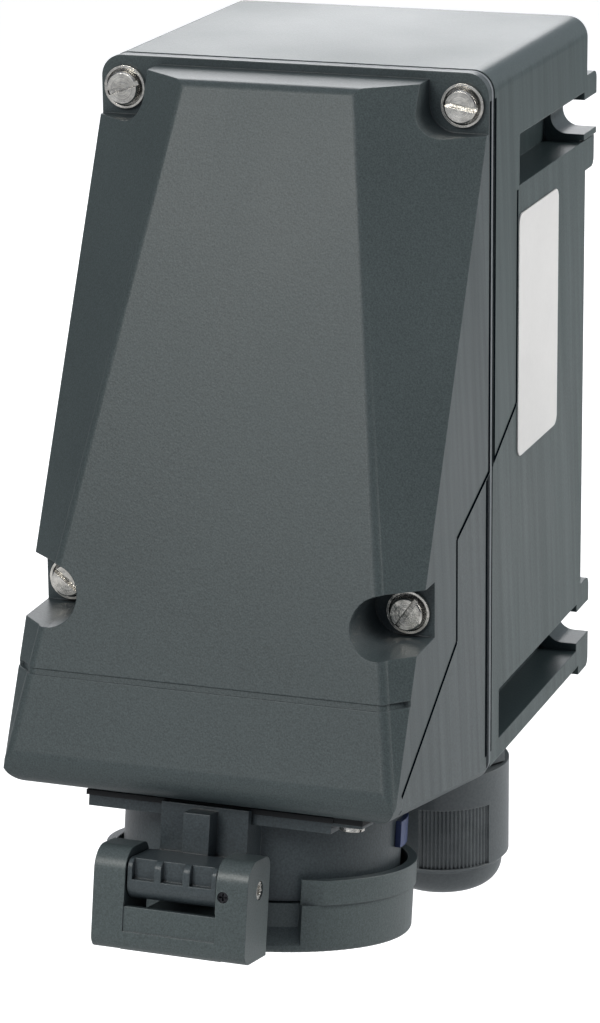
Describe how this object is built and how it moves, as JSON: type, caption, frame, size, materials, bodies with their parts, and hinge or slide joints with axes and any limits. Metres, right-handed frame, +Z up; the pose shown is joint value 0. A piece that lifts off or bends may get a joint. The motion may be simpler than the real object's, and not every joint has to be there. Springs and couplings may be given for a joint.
{
  "type": "industrial wall socket",
  "caption": "Deep moulded wall box with a wedge shaped front cover, a round plug socket under it with a sprung lid, and a ribbed cable gland below.",
  "frame": {"origin": "on the wall plane, at mid width and mid height of the casing", "axes": "+Z up the wall, +Y into the wall, +X to the right seen from the front"},
  "size_m": [0.11, 0.2091, 0.246],
  "materials": {
    "grey_moulding": "fine grained",
    "dark_moulding": "fine grained",
    "insulation": "satin",
    "rubber": "matt",
    "label": "satin",
    "blue": "satin",
    "stainless": "brushed",
    "brass": "plain"
  },
  "bodies": {
    "base": {"blanking_plug": "dark_moulding", "blanking_seal": "rubber", "coding_band": "blue", "cover_screw_1": "stainless", "cover_screw_2": "stainless", "cover_screw_3": "stainless", "cover_screw_4": "stainless", "cover_seal": "rubber", "flange_screw_1": "stainless", "flange_screw_2": "stainless", "flange_screw_3": "stainless", "flange_screw_4": "stainless", "flange_seal": "rubber", "front_cover": "grey_moulding", "gland_body": "dark_moulding", "gland_nut": "dark_moulding", "gland_seal": "rubber", "insert_1": "brass", "insert_2": "brass", "insert_3": "brass", "insert_4": "brass", "lid_spring": "stainless", "rear_casing": "grey_moulding", "screw_cup_1": "stainless", "screw_cup_2": "stainless", "screw_cup_3": "stainless", "screw_cup_4": "stainless", "side_label": "label", "socket_housing": "dark_moulding", "switch_block": "insulation", "switch_screw_1": "stainless", "switch_screw_2": "stainless", "terminal_1": "brass", "terminal_2": "brass", "terminal_3": "brass", "terminal_screw_1": "stainless", "terminal_screw_2": "stainless", "terminal_screw_3": "stainless"},
    "lid": {"socket_lid": "dark_moulding", "lid_seal": "rubber", "hinge_pin": "stainless", "pin_screw": "stainless"},
    "rotor": {"contact_rotor": "insulation", "rotor_clip": "stainless", "drive_shaft": "insulation", "contact_sleeve_1": "brass", "contact_sleeve_2": "brass", "contact_sleeve_3": "brass"}
  },
  "joints": [
    {"name": "lid_hinge", "type": "hinge", "parent": "base", "child": "lid", "pos_m": [0, -0.19722, -0.10042], "axis": [-1, 0, 0], "range_deg": [0, 115], "stiffness_Nm_per_rad": 0.05, "springref_deg": -85.94},
    {"name": "rotor_turn", "type": "hinge", "parent": "base", "child": "rotor", "pos_m": [0, -0.134, -0.09403], "axis": [0, -0.1822, -0.9833], "range_deg": [0, 45]}
  ]
}
